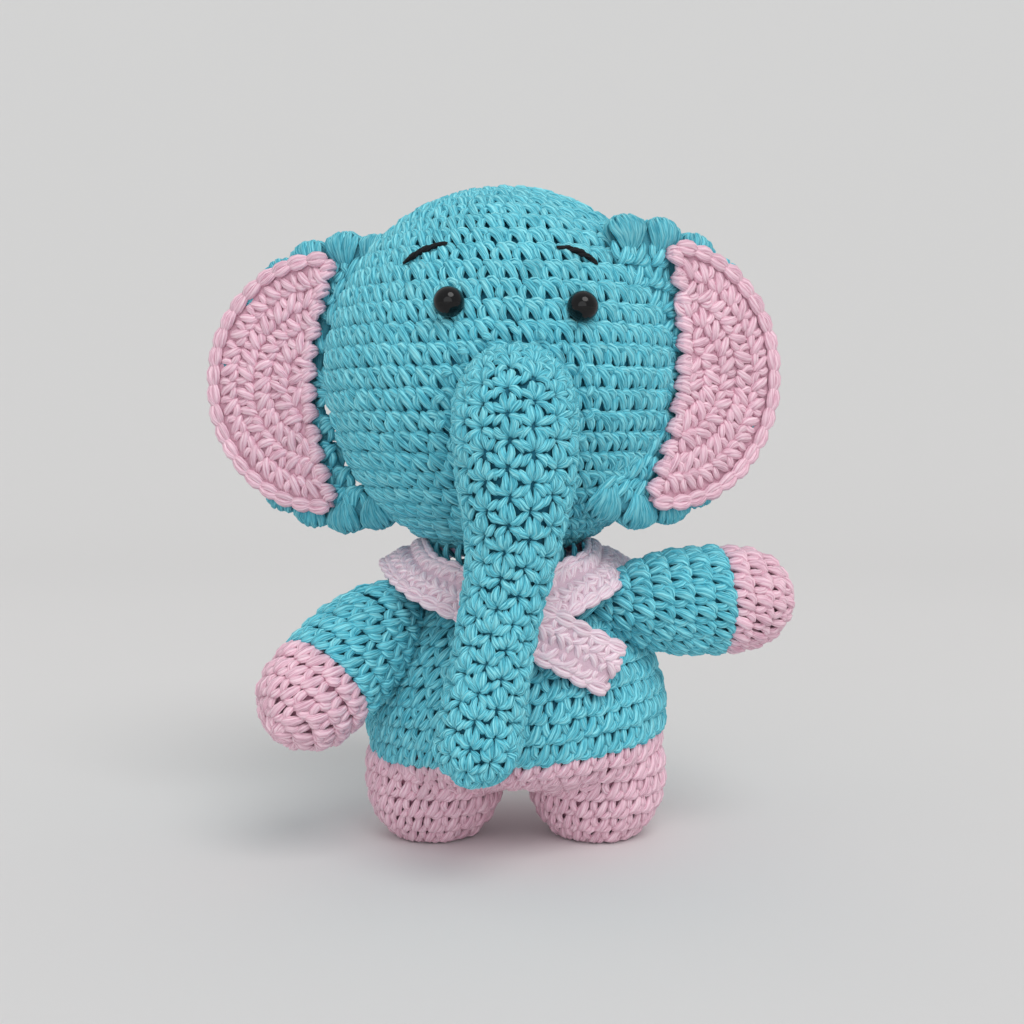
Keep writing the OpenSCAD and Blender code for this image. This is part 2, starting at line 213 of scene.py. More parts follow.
class Yarn:
    """Strands and linings collected into one mesh."""

    def __init__(self, samples=SAMPLES, sides=SIDES):
        self.samples, self.sides = samples, sides
        self.strands, self.linings = [], []

    def add(self, centre, normal, half, height, flat=0.82, tone=None, twist=0.2, taper=0.42):
        """Lays n strands: centre and normal are (n, samples, 3), half their half widths."""
        n, m, s = len(centre), self.samples, self.sides
        if n == 0:
            return
        half = np.broadcast_to(half, (n,))
        tone = rng.normal(0, 1, n) if tone is None else np.broadcast_to(tone, (n,))
        t = np.linspace(0, 1, m)
        width = half[:, None] * (taper + (1 - taper) * np.sin(math.pi * t) ** 0.75)
        tangent = unit(np.gradient(centre, axis=1))
        side = unit(np.cross(tangent, normal))
        up = np.cross(side, tangent)
        rng.random(n)  # one spare draw a strand, which later draws count on
        j = np.arange(s)
        phi = -math.pi / 2 + 2 * math.pi * j / s + twist * 2 * math.pi * t[None, :, None]
        ridge = 1 + RIDGE * np.where(j % 2 == 0, 1, -1)
        a, b = np.cos(phi) * ridge, np.sin(phi) * ridge * flat
        across = a[..., None] * side[:, :, None] + b[..., None] * up[:, :, None]
        ring = centre[:, :, None] + width[..., None, None] * across
        cap = np.stack([
            centre[:, 0] - tangent[:, 0] * width[:, :1] * CAP,
            centre[:, -1] + tangent[:, -1] * width[:, -1:] * CAP,
        ], 1)
        verts = np.concatenate([ring.reshape(n, m * s, 3), cap], 1)
        # Each point's height is kept so the material can paint shade on the low parts of strands.
        depth_shade_ring = height[..., None] + width[..., None] * b
        depth_shade = np.concatenate([depth_shade_ring.reshape(n, m * s), height[:, [0, -1]]], 1)
        length = np.linalg.norm(np.diff(centre, axis=1), axis=2).sum(1)
        self.strands.append((verts, depth_shade, tone, length))

    def line(self, ring_points, depth_shade):
        """A lining: rings of points, (rings, sides, 3), closed by a point at each end. The depth given with
        them sets its painted shade.
        """
        self.linings.append((ring_points, depth_shade))

    def mesh(self, name, material):
        """Makes the object. OFBake is its own atlas, Yarn runs round and along each strand."""
        m, s = self.samples, self.sides
        verts, depth_shades, tones, loops, sizes, yarn_uv, bake_uv = [], [], [], [], [], [], []
        offset = 0
        total = sum(len(part[0]) for part in self.strands)
        strip = min(0.22 * len(self.linings), 0.5) if self.strands else 1.0
        if total:
            quads, tris, quad_uv, tri_uv = strand_faces(m, s)
            cells = math.ceil(math.sqrt(total / (1 - strip)))
            cell = 1 / cells
            done = 0
            for v, depth_shade, tone, length in self.strands:
                n, k = v.shape[:2]
                base = offset + np.arange(n)[:, None] * k
                index = done + np.arange(n)
                corner = np.stack([index % cells, index // cells], -1)[:, None] * cell
                corner = corner + np.array([0, strip])
                for faces, uv, size in ((quads, quad_uv, 4), (tris, tri_uv, 3)):
                    loops.append((base[:, :, None] + faces.reshape(-1)[None, None]).reshape(-1))
                    sizes.append(np.full(n * len(faces), size))
                    local = uv.reshape(1, -1, 2)
                    bake_uv.append((corner + cell * (0.08 + 0.84 * local)).reshape(-1, 2))
                    yarn_uv.append((local * np.stack([np.ones(n), length], -1)[:, None]).reshape(-1, 2))
                verts.append(v.reshape(-1, 3))
                depth_shades.append(depth_shade.reshape(-1))
                tones.append(np.repeat(tone, k))
                offset += n * k
                done += n
        for i, (points, depth_shade) in enumerate(self.linings):
            rings, sides = points.shape[:2]
            quads, tris, quad_uv, tri_uv = strand_faces(rings, sides)
            ends_at = np.stack([points[0].mean(0), points[-1].mean(0)])
            height = strip / len(self.linings)
            for f, t, size in ((quads, quad_uv, 4), (tris, tri_uv, 3)):
                loops.append(offset + f.reshape(-1))
                sizes.append(np.full(len(f), size))
                t = t.reshape(-1, 2)
                bake_uv.append(np.array([0.01, height * (i + 0.03)]) + t * np.array([0.98, height * 0.9]))
                yarn_uv.append(t * np.array(LINING_UV))
            verts.append(np.concatenate([points.reshape(-1, 3), ends_at]))
            depth_shades.append(np.full(rings * sides + 2, depth_shade))
            tones.append(np.zeros(rings * sides + 2))
            offset += rings * sides + 2
        return make_object(name, material, verts, depth_shades, tones, loops, sizes, yarn_uv, bake_uv)


def strand_faces(m, s):
    """Faces and their UVs of a closed tube of m rings with s sides and a point at each end."""
    k, j = np.meshgrid(np.arange(m - 1), np.arange(s), indexing="ij")
    k, j = k.reshape(-1), j.reshape(-1)
    nxt = (j + 1) % s
    quads = np.stack([k * s + j, (k + 1) * s + j, (k + 1) * s + nxt, k * s + nxt], -1)
    low, high = 0.06 + 0.88 * k / (m - 1), 0.06 + 0.88 * (k + 1) / (m - 1)
    quad_uv = np.stack([
        np.stack([j / s, low], -1), np.stack([j / s, high], -1),
        np.stack([(j + 1) / s, high], -1), np.stack([(j + 1) / s, low], -1),
    ], 1)
    j = np.arange(s)
    nxt = (j + 1) % s
    first = np.stack([np.full(s, m * s), j, nxt], -1)
    last = np.stack([np.full(s, m * s + 1), (m - 1) * s + nxt, (m - 1) * s + j], -1)
    mid = (j + 0.5) / s
    first_uv = np.stack([
        np.stack([mid, 0 * mid], -1), np.stack([j / s, 0 * mid + 0.06], -1),
        np.stack([(j + 1) / s, 0 * mid + 0.06], -1),
    ], 1)
    last_uv = np.stack([
        np.stack([mid, 0 * mid + 1], -1), np.stack([(j + 1) / s, 0 * mid + 0.94], -1),
        np.stack([j / s, 0 * mid + 0.94], -1),
    ], 1)
    return quads, np.concatenate([first, last]), quad_uv, np.concatenate([first_uv, last_uv])


def make_object(name, material, verts, depth_shades, tones, loops, sizes, yarn_uv, bake_uv):
    """Builds the mesh and its layers from lists of arrays."""
    verts = (np.concatenate(verts) + SHIFT) * MM
    loops, sizes = np.concatenate(loops).astype(np.int32), np.concatenate(sizes).astype(np.int32)
    me = bpy.data.meshes.new(name)
    me.vertices.add(len(verts))
    me.vertices.foreach_set("co", verts.astype(np.float32).reshape(-1))
    me.loops.add(len(loops))
    me.loops.foreach_set("vertex_index", loops)
    me.polygons.add(len(sizes))
    starts = np.concatenate([[0], np.cumsum(sizes)[:-1]]).astype(np.int32)
    me.polygons.foreach_set("loop_start", starts)
    me.polygons.foreach_set("loop_total", sizes)
    me.polygons.foreach_set("use_smooth", np.ones(len(sizes), bool))
    for uv_name, uv in (("Yarn", yarn_uv), ("OFBake", bake_uv)):
        layer = me.uv_layers.new(name=uv_name)
        layer.data.foreach_set("uv", np.concatenate(uv).astype(np.float32).reshape(-1))
    # One attribute is a random brightness for each stitch, the other the height that the material paints
    # shade by.
    for attribute, values in (("tone", tones), ("depth_shade", depth_shades)):
        layer = me.attributes.new(attribute, "FLOAT", "POINT")
        layer.data.foreach_set("value", np.concatenate(values).astype(np.float32))
    me.update()
    me.uv_layers["Yarn"].active_render = True
    me.materials.append(material)
    obj = bpy.data.objects.new(name, me)
    bpy.context.scene.collection.objects.link(obj)
    return obj


# ------------------------------------------------------------------------------------- stitches

def stitch_rows(along, across, step, pitch, row):
    """Stitches as rows of place along and across, their size each way, and the row number."""
    return np.column_stack([np.broadcast_to(c, np.shape(along)) for c in (along, across, step, pitch, row)])


def rounds(form, start, end, pitch, width, drift=0.37, least=6):
    """Places stitches round after round: rows of angle, v, angle width, pitch and row number."""
    count = max(1, round((end - start) / pitch))
    pitch = (end - start) / count
    rows = []
    for i in range(count):
        v = start + (i + 0.5) * pitch
        n = max(least, round(2 * math.pi * float(form.radius(v)) / width))
        step = 2 * math.pi / n
        angle = (np.arange(n) + drift * i) * step
        rows.append(stitch_rows(angle, v, step, pitch, i))
    return np.concatenate(rows)


def where(form, stitches):
    """The stitches' middles as points."""
    return form.at(stitches[:, 0], stitches[:, 1], np.zeros(len(stitches)))[0]


# A motif's strands: half width, and points (across, along, height) in shares of the stitch.
SINGLE = [
    (1.00, [(-0.36, -0.52, -0.1), (-0.12, -0.38, 0.62), (0.15, 0.02, 0.55), (0.37, 0.52, -0.45)]),
    (0.84, [(-0.20, -0.30, 0.10), (-0.36, -0.08, 0.42), (-0.38, 0.20, 0.30), (-0.26, 0.52, -0.45)]),
    (0.90, [(-0.04, -0.50, 0.10), (0.24, -0.50, 0.52), (0.48, -0.34, 0.42), (0.60, -0.04, -0.25)]),
]
PETALS = [
    (0.80, [(-0.05, -0.10, -0.5), (-0.13, -0.30, 0.45), (-0.17, -0.52, 0.50), (-0.11, -0.80, -0.2)]),
    (0.80, [(0.05, -0.10, -0.5), (0.14, -0.30, 0.45), (0.17, -0.52, 0.50), (0.12, -0.80, -0.2)]),
    (0.74, [(-0.10, -0.04, -0.5), (-0.28, -0.14, 0.45), (-0.44, -0.28, 0.45), (-0.54, -0.44, -0.2)]),
    (0.74, [(0.10, -0.04, -0.5), (0.28, -0.14, 0.45), (0.44, -0.28, 0.45), (0.54, -0.44, -0.2)]),
    (0.74, [(-0.10, 0.06, -0.5), (-0.28, 0.16, 0.45), (-0.42, 0.30, 0.42), (-0.50, 0.46, -0.2)]),
    (0.74, [(0.10, 0.06, -0.5), (0.28, 0.16, 0.45), (0.42, 0.30, 0.42), (0.50, 0.46, -0.2)]),
]


def lay(yarn, form, stitches, motif, size=1.0, relief=1.0, loose=1.0, inset=INSET, lit=None):
    """Lays a motif at every stitch. lit, if given, is the height that the strands are shaded for."""
    n = len(stitches)
    if n == 0:
        return
    angle, v, step, pitch = stitches[:, :4].T
    sway = rng.normal(0, 0.035 * loose, (n, 2))
    lift = rng.normal(0, 0.07 * loose, n)
    tone = rng.normal(0, 0.6, n)
    for half, points in motif:
        pts = np.broadcast_to(np.array(points), (n, len(points), 3)).copy()
        pts[..., :2] += rng.normal(0, 0.022 * loose, (n, len(points), 2)) + sway[:, None]
        pts[..., 2] = pts[..., 2] * relief + lift[:, None] - inset
        pts = np.stack([spread_many(pts[..., c], yarn.samples) for c in range(3)], -1)
        along, across = pts[..., 0] * step[:, None], pts[..., 1] * pitch[:, None]
        centre, normal = form.at(angle[:, None] + along, v[:, None] + across, pts[..., 2])
        halves = half * size * rng.normal(1, 0.05, n)
        # Low strands get more painted shade; lit gives them all one height instead.
        shade = pts[..., 2] + inset if lit is None else np.full(pts.shape[:2], lit)
        yarn.add(centre, normal, halves, shade, tone=tone + rng.normal(0, 0.5, n))


def spread_many(values, samples):
    """Each row of values, sampled on a smooth line."""
    return spread(values.T, samples).T


def mirrored(motif, across=-1, along=1):
    """The motif turned over sideways, or end for end."""
    return [(half, [(across * x, along * y, z) for x, y, z in points]) for half, points in motif]


def line_form(yarn, form, v_from, v_to, rings, sides):
    """The closed lining under the stitches, darkened by painted shade to stand for the shade in their gaps.
    """
    v = np.linspace(v_from, v_to, rings)[:, None]
    angle = np.linspace(0, 2 * math.pi, sides, endpoint=False)[None]
    yarn.line(form.at(angle, v, -LINING_DEPTH)[0], LINING_SHADE_DEPTH)


# ------------------------------------------------------------------------------------ materials

def linear(rgb):
    """Screen colour, 0 to 255, as a linear colour with alpha."""
    c = np.array(rgb, float) / 255
    c = np.where(c <= 0.04045, c / 12.92, ((c + 0.055) / 1.055) ** 2.4)
    return (*c, 1.0)


class Nodes:
    """A short way to write node trees."""

    def __init__(self, name):
        self.material = bpy.data.materials.new(name)
        self.material.use_nodes = True
        self.tree = self.material.node_tree
        self.shader = self.tree.nodes["Principled BSDF"]

    def add(self, kind, inputs=None, **settings):
        node = self.tree.nodes.new(kind)
        for key, value in settings.items():
            setattr(node, key, value)
        for key, value in (inputs or {}).items():
            self.set(node.inputs[key], value)
        return node

    def set(self, socket, value):
        if isinstance(value, bpy.types.NodeSocket):
            self.tree.links.new(value, socket)
        else:
            socket.default_value = value

    def math(self, operation, a, b=0.0, c=0.0):
        node = self.add("ShaderNodeMath", {0: a, 1: b, 2: c}, operation=operation)
        return node.outputs[0]

    def range(self, value, low, high, to_low=0.0, to_high=1.0):
        node = self.add("ShaderNodeMapRange", {"Value": value}, interpolation_type="SMOOTHSTEP")
        for key, number in (("From Min", low), ("From Max", high), ("To Min", to_low), ("To Max", to_high)):
            node.inputs[key].default_value = number
        return node.outputs["Result"]

    def mix(self, factor, a, b, blend="MIX"):
        node = self.add("ShaderNodeMix", data_type="RGBA", blend_type=blend)
        self.set(node.inputs["Factor"], factor)
        self.set(node.inputs[6], a)
        self.set(node.inputs[7], b)
        return node.outputs[2]


def yarn_material(name, depth_shade, mid, light, sheen=0.25):
    """Plied cotton yarn: fibres run along each strand, with painted shade in the gaps between stitches and
    in the grooves, and painted highlight streaks along the fibres.
    """
    n = Nodes(name)
    uv = n.add("ShaderNodeUVMap", uv_map="Yarn").outputs["UV"]
    split = n.add("ShaderNodeSeparateXYZ", {0: uv})
    tone = n.add("ShaderNodeAttribute", attribute_name="tone").outputs["Fac"]
    painted_shade_depth = n.add("ShaderNodeAttribute", attribute_name="depth_shade").outputs["Fac"]
    around = n.math("MULTIPLY", split.outputs["X"], 24.0)
    along = n.math("MULTIPLY", split.outputs["Y"], 0.42)
    place = n.add("ShaderNodeCombineXYZ", {"X": around, "Y": along, "Z": n.math("MULTIPLY", tone, 19.0)})
    fibre = n.add(
        "ShaderNodeTexNoise", {"Vector": place.outputs[0], "Scale": 1.0, "Detail": 2.0, "Roughness": 0.55}
    ).outputs["Fac"]
    # Painted highlight: lighter streaks along the fibres, in the light colour.
    painted_highlight_streak = n.range(fibre, 0.40, 0.68)
    # Painted shade in the fibre grooves.
    painted_groove_shade = n.range(fibre, 0.46, 0.30)
    # Painted shade in the grooves between the plies, where the strand's ridges dip.
    painted_ply_shade = n.math("MULTIPLY", n.math("COSINE", n.math("MULTIPLY", split.outputs["X"], 12 * math.pi)), 0.5)
    colour = n.mix(n.math("MULTIPLY", painted_highlight_streak, 0.75), linear(mid), linear(light))
    colour = n.mix(n.math("MULTIPLY", painted_groove_shade, 0.55), colour, linear(depth_shade))
    colour = n.mix(n.range(painted_ply_shade, 0.15, -0.5, 0.0, 0.35), colour, linear(depth_shade))
    # Painted shade: the lower a strand lies, the more it is darkened towards the shade colour.
    colour = n.mix(n.range(painted_shade_depth, 0.05, -1.15, 0.0, 0.9), colour, linear(depth_shade))
    bright = n.math("MULTIPLY_ADD", tone, 0.045, 1.0)
    shade = n.add("ShaderNodeHueSaturation", {"Value": bright, "Color": colour})
    n.set(n.shader.inputs["Base Color"], shade.outputs[0])
    bump = n.add("ShaderNodeBump", {"Height": fibre, "Strength": 0.55, "Distance": 0.00022})
    n.set(n.shader.inputs["Normal"], bump.outputs[0])
    rough = n.range(fibre, 0.3, 0.7, 0.78, 0.58)
    n.set(n.shader.inputs["Roughness"], rough)
    n.shader.inputs["Specular IOR Level"].default_value = 0.22
    n.shader.inputs["Sheen Weight"].default_value = sheen
    n.shader.inputs["Sheen Roughness"].default_value = 0.45
    n.shader.inputs["Sheen Tint"].default_value = linear(light)
    return n.material


def bead_material():
    n = Nodes("bead")
    noise = n.add("ShaderNodeTexNoise", {"Scale": 900.0, "Detail": 3.0}).outputs["Fac"]
    n.set(n.shader.inputs["Base Color"], n.mix(noise, linear((2, 3, 5)), linear((7, 8, 11))))
    n.set(n.shader.inputs["Roughness"], n.range(noise, 0.3, 0.75, 0.05, 0.12))
    n.shader.inputs["Specular IOR Level"].default_value = 0.25
    n.shader.inputs["Coat Weight"].default_value = 0.15
    n.shader.inputs["Coat Roughness"].default_value = 0.03
    return n.material


def plain_material(name, low, high, scale, rough, bump=0.3, distance=0.0003):
    """A mottled material in two close colours with a fine bump."""
    n = Nodes(name)
    place = n.add("ShaderNodeTexCoord").outputs["Object"]
    noise = n.add("ShaderNodeTexNoise", {"Vector": place, "Scale": scale, "Detail": 4.0}).outputs["Fac"]
    n.set(n.shader.inputs["Base Color"], n.mix(noise, linear(low), linear(high)))
    n.set(n.shader.inputs["Roughness"], n.range(noise, 0.3, 0.7, rough - 0.06, rough + 0.06))
    bumped = n.add("ShaderNodeBump", {"Height": noise, "Strength": bump, "Distance": distance})
    n.set(n.shader.inputs["Normal"], bumped.outputs[0])
    return n.material


# Each yarn's colours: painted shade for the gaps and grooves, its own colour, and painted highlight for the
# fibre streaks.
BLUE = yarn_material("blue_yarn", (2, 92, 118), (96, 202, 222), (170, 248, 255), sheen=0.15)
PINK = yarn_material("pink_yarn", (186, 128, 152), (240, 198, 214), (255, 228, 238))
PALE = yarn_material("scarf_yarn", (196, 150, 174), (244, 220, 232), (255, 242, 248))
THREAD = yarn_material("brow_thread", (6, 6, 8), (16, 17, 20), (44, 46, 52), sheen=0.1)
BEAD = bead_material()
WADDING = plain_material("wadding", (214, 212, 204), (244, 243, 238), 700, 0.9, 0.8, 0.0008)
WASHER = plain_material("washer_plastic", (200, 200, 196), (222, 222, 219), 300, 0.42)

# ------------------------------------------------------------------------------------- the head


def finish_piece(obj, body=None, replaces=()):
    """Says which body a piece rides and which nodes it stands for."""
    if body:
        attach(obj, body)
    if replaces:
        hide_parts(*replaces)
    return obj


turn = np.linspace(0, math.pi, 160)
head_outline = np.column_stack([HEAD_R * np.sin(turn), HEAD_Z + HEAD_H * np.cos(turn)])
head_outline[0, 0] = head_outline[-1, 0] = 0
head_form = revolved(head_outline, (HEAD_X, 0, 0))
head_stitches = rounds(head_form, 0.2, head_form.length - 0.2, 4.33, 4.05)
middle = where(head_form, head_stitches)
off_root = np.hypot(middle[:, 0] - TRUNK_ROOT[0], middle[:, 2] - TRUNK_ROOT[2] - 3)
under_trunk = (off_root < 8.8) & (middle[:, 1] < 0)
in_neck = (middle[:, 2] < HEAD_Z) & (np.hypot(middle[:, 0] - HEAD_X, middle[:, 1]) < 11)
head_stitches = head_stitches[~(under_trunk | in_neck)]
HEAD_PARTS = [("head_cover_crown", 0, 10), ("head_cover_face", 10, 18), ("head_cover_chin", 18, 99)]
for part_name, low, high in HEAD_PARTS:
    yarn = Yarn()
    lay(yarn, head_form, head_stitches[(head_stitches[:, 4] >= low) & (head_stitches[:, 4] < high)], SINGLE)
    finish_piece(yarn.mesh(part_name, BLUE), "head", ["head_shell"])
yarn = Yarn()
line_form(yarn, head_form, 0, head_form.length, 60, 72)
finish_piece(yarn.mesh("head_lining", BLUE), "head", ["head_shell"])

# ------------------------------------------------------------------------------------- the trunk

trunk_points = [
    (0.6, -29, 92.2), (0.6, -37.4, 92.2), (0.6, -43.0, 88.0), (0.7, -44.4, 78), (-0.1, -44.5, 64),
    (-3.0, -44.2, 49), (-6.4, -44.6, 28.5),
]
trunk_radii = [10.4, 11.0, 11.5, 10.8, 8.4, 7.3, 7.9]
trunk_form = swept(trunk_points, trunk_radii)
trunk_rows = []
start, pitch = 5.0, 5.2
row = 0
v = start
while v < trunk_form.length - 1.0:
    r = float(trunk_form.radius(v))
    n = 14 if r > 9.4 else 12 if r > 7.0 else max(6, 2 * round(r * math.pi / 4.4))
    step = 2 * math.pi / n
    j = np.arange(n)
    angle = math.pi / 2 + (j + 0.3) * step
    trunk_rows.append(stitch_rows(angle, v + 0.5 * pitch * (j % 2), step, pitch, row))
    v += pitch
    row += 1
trunk_stitches = np.concatenate(trunk_rows)
trunk_stitches = trunk_stitches[trunk_stitches[:, 1] < trunk_form.length]
middle = where(trunk_form, trunk_stitches)
inside_head = (
    ((middle[:, 0] - HEAD_X) / (HEAD_R - 1.5)) ** 2 + (middle[:, 1] / (HEAD_R - 1.5)) ** 2
    + ((middle[:, 2] - HEAD_Z) / (HEAD_H - 1.5)) ** 2
) < 1
yarn = Yarn()
lay(yarn, trunk_form, trunk_stitches[~inside_head], PETALS, loose=1.2)
line_form(yarn, trunk_form, 1.0, trunk_form.length, 60, 40)
trunk = finish_piece(yarn.mesh("trunk_cover", BLUE), None, ["trunk_shell"])
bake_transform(trunk)

# -------------------------------------------------------------------------------------- the body

body_outline = smooth_line(BODY_OUTLINE, 8)
body_outline[:, 0] = np.maximum(body_outline[:, 0] * BODY_R, 0)
body_outline[0, 0] = body_outline[-1, 0] = 0


turn = np.linspace(-math.asin(LEG_Z / LEG_H), 0, 40)
leg_outline = np.column_stack([LEG_R * np.cos(turn), LEG_Z + LEG_H * np.sin(turn)])
leg_top = [(LEG_R, 20.0), (LEG_R * 0.9, 23.5), (LEG_R * 0.5, 26), (0, 26.5)]
leg_outline = np.concatenate([[(0, 0)], leg_outline, leg_top])
LEG_PLACES = [(BODY_X + side * LEG_X, LEG_Y) for side in (-1, 1)]


def gap_to(outline, centre, point):
    """Signed distance from points to a turned form's outline."""
    walked = np.concatenate([[0], np.cumsum(np.hypot(*np.diff(outline, axis=0).T))])
    dense = np.linspace(0, walked[-1], 160)
    r0, z0 = np.interp(dense, walked, outline[:, 0]), np.interp(dense, walked, outline[:, 1])
    r = np.hypot(point[..., 0] - centre[0], point[..., 1] - centre[1])
    away = np.sqrt(np.min((r[..., None] - r0) ** 2 + (point[..., 2][..., None] - z0) ** 2, axis=-1))
    inside = (r < np.interp(point[..., 2], z0, r0)) & (point[..., 2] > z0[0]) & (point[..., 2] < z0[-1])
    return np.where(inside, -away, away)


def leg_gap(point):
    """Signed distance from points to the nearer leg."""
    return np.minimum(*(gap_to(leg_outline, place, point) for place in LEG_PLACES))


def swell(gap, normal, reach=8.0):
    """How far the fabric bridges out beside the crease between the body and a leg."""
    return reach / 4 * np.clip(1 - np.maximum(gap, 0) / reach, 0, 1) ** 2 * (1 - normal[..., 0] ** 2)


def body_press(point, normal):
    """Moves the body's surface in where an arm lies against it, and out beside the legs."""
    point = point.copy()
    for arm in (LEFT_ARM, RIGHT_ARM):
        start, way = np.array(arm["shoulder"], float), unit(arm["dir"])
        for _ in range(3):
            rel = point - start
            s = rel @ way
            off = np.linalg.norm(rel - s[..., None] * way, axis=-1)
            reach = np.interp(ARM_LEN - s, arm_outline[:, 1], arm_outline[:, 0], left=0, right=0) + 0.9
            reach = np.where((s > -0.5) & (s < ARM_LEN), reach, 0)
            point -= np.clip(reach - off, 0, 6)[..., None] * normal
    return point + (swell(leg_gap(point), normal) * (point[..., 2] < LEG_REACH))[..., None] * normal


def leg_press(point, normal):
    gap = gap_to(body_outline, (BODY_X, 0), point)
    return point + (swell(gap, normal) * (point[..., 2] > 4))[..., None] * normal


arm_outline = smooth_line(ARM_OUTLINE, 8)
arm_outline[:, 0] = np.maximum(arm_outline[:, 0] * ARM_R, 0)
arm_outline[0, 0] = arm_outline[-1, 0] = 0
body_form = revolved(body_outline, (BODY_X, 0, 0), press=body_press)
body_stitches = rounds(body_form, 0.2, body_form.length - 16, 4.33, 4.05)
is_torso = where(body_form, body_stitches)[:, 2] > COLOUR_CHANGE_Z
higher = np.cos(body_stitches[:, 0]) * np.sin(math.pi * body_stitches[:, 1] / body_form.length)
body_stitches[:, 1] += ROUND_TILT * higher
middle = where(body_form, body_stitches)
in_leg = (leg_gap(middle) < -1.8) & (middle[:, 2] < LEG_REACH)
yarn = Yarn()
lay(yarn, body_form, body_stitches[is_torso], SINGLE)
finish_piece(yarn.mesh("torso_cover", BLUE), "torso", ["torso_shell"])
yarn = Yarn()
lay(yarn, body_form, body_stitches[~is_torso & ~in_leg], SINGLE, relief=0.85)
finish_piece(yarn.mesh("hips_cover", PINK), "torso", ["hips_shell"])
v_change = float(np.interp(COLOUR_CHANGE_Z, body_form.table[:, 2], body_form.v))
yarn = Yarn()
line_form(yarn, body_form, v_change, body_form.length, 30, 72)
finish_piece(yarn.mesh("torso_lining", BLUE), "torso", ["torso_shell"])
yarn = Yarn()
line_form(yarn, body_form, 0, v_change, 20, 72)
finish_piece(yarn.mesh("hips_lining", PINK), "torso", ["hips_shell"])

# -------------------------------------------------------------------------------------- the legs

for side, side_name in ((-1, "left"), (1, "right")):
    leg_form = revolved(leg_outline, (BODY_X + side * LEG_X, LEG_Y, 0), press=leg_press)
    stitches = rounds(leg_form, 0.2, leg_form.length - 1, 4.1, 3.95)
    middle = where(leg_form, stitches)
    hidden = (gap_to(body_outline, (BODY_X, 0), middle) < -1.0) | (middle[:, 2] > 19)
    yarn = Yarn()
    lay(yarn, leg_form, stitches[~hidden], SINGLE, relief=0.85)
    line_form(yarn, leg_form, 0, leg_form.length, 24, 48)
    finish_piece(yarn.mesh(f"{side_name}_leg_cover", PINK), "torso", [f"{side_name}_leg"])

# -------------------------------------------------------------------------------------- the arms

for arm, side_name in ((LEFT_ARM, "left"), (RIGHT_ARM, "right")):
    way = unit(arm["dir"])
    tip = np.array(arm["shoulder"], float) + way * ARM_LEN
    arm_form = revolved(arm_outline, tip, -way, unit(np.cross(-way, (0, 0, 1))))
    stitches = rounds(arm_form, 0.2, arm_form.length - 3, 4.2, 4.05)
    away = (where(arm_form, stitches) - np.array(arm["shoulder"])) @ way
    for part, material, chosen in (("sleeve", BLUE, away <= SLEEVE_LEN), ("hand", PINK, away > SLEEVE_LEN)):
        yarn = Yarn()
        lay(yarn, arm_form, stitches[chosen], SINGLE, relief=1.1)
        change = float(np.interp(ARM_LEN - SLEEVE_LEN, arm_outline[:, 1], np.concatenate(
            [[0], np.cumsum(np.hypot(*np.diff(arm_outline, axis=0).T))])))
        low, high = (change, arm_form.length) if part == "sleeve" else (0, change)
        line_form(yarn, arm_form, low, high, 24, 40)
        cover = yarn.mesh(f"{side_name}_{part}_cover", material)
        finish_piece(cover, f"{side_name}_arm", [f"{side_name}_{part}"])


def sewn(name, material, begins, ends, normals, bow, half, nodes, body=None, across=None):
    """Short sewing stitches from begins to ends, bowed along normals."""
    begins, ends, normals = (np.array(a, float) for a in (begins, ends, normals))
    t = np.linspace(0, 1, SAMPLES)[None, :, None]
    line = begins[:, None] * (1 - t) + ends[:, None] * t + normals[:, None] * (bow * np.sin(math.pi * t))
    yarn = Yarn()
    yarn.add(line, np.broadcast_to(normals[:, None], line.shape), half, np.full(line.shape[:2], 0.2))
    obj = finish_piece(yarn.mesh(name, material), body, nodes)
    if across:
        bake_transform(obj)
    return obj


# -------------------------------------------------------------------------------------- the ears

EAR_FRONT = {"r": 28.8, "inward": 1.3, "curve": 62.0, "y": -2.5, "t": 2.5}
EAR_BACK = {"r": 33.4, "inward": 5.9, "curve": 54.0, "y": 0.05, "t": 3.3}
EAR_EDGE = 1.5
FRONT_INSET, BACK_INSET = 1.0, 2.6   # how far the cloth stays inside the stitched edge
CHAIN = [
    (0.92, [(-0.66, -0.15, -0.1), (-0.28, 0.62, 0.50), (0.20, 0.70, 0.45), (0.66, 0.20, -0.3)]),
    (0.92, [(-0.66, 0.05, -0.3), (-0.22, -0.70, 0.50), (0.26, -0.62, 0.50), (0.66, 0.05, -0.1)]),
]
ROW_END = [
    (1.00, [(-0.34, 2.0, -0.3), (-0.20, 0.9, 0.60), (-0.05, -0.5, 0.30), (0.02, -1.0, -1.2)]),
    (0.95, [(0.02, 2.2, -0.3), (0.12, 0.9, 0.65), (0.20, -0.4, 0.30), (0.20, -0.9, -1.2)]),
    (0.85, [(0.40, 1.9, -0.3), (0.42, 0.8, 0.45), (0.40, -0.1, 0.10), (0.36, -0.5, -1.2)]),
]


def fan(half_length, half_thick, out, back, strands, half):
    """Motif of one shell: strands that fan out over both faces of a plump lump, in millimetres."""
    motif = []
    for side in (1, -1):
        for k in range(strands):
            q = (2 * (k + 0.5) / strands - 1) * 0.9
            full = math.sqrt(1 - q * q)
            motif.append((half, [
                (q * half_length * 0.35, -back, side * 0.35 * half_thick),
                (q * half_length * 0.80, -back * 0.15, side * half_thick * (0.30 + 0.70 * full)),
                (q * half_length * 1.02, out * (0.15 + 0.45 * full), side * half_thick * 0.85 * full),
                (q * half_length * 0.90, out * (0.30 + 0.70 * full), side * 0.10 * half_thick),
            ]))
    return motif


SHELL = fan(3.9, 2.6, 3.9, 3.6, 5, 1.05)


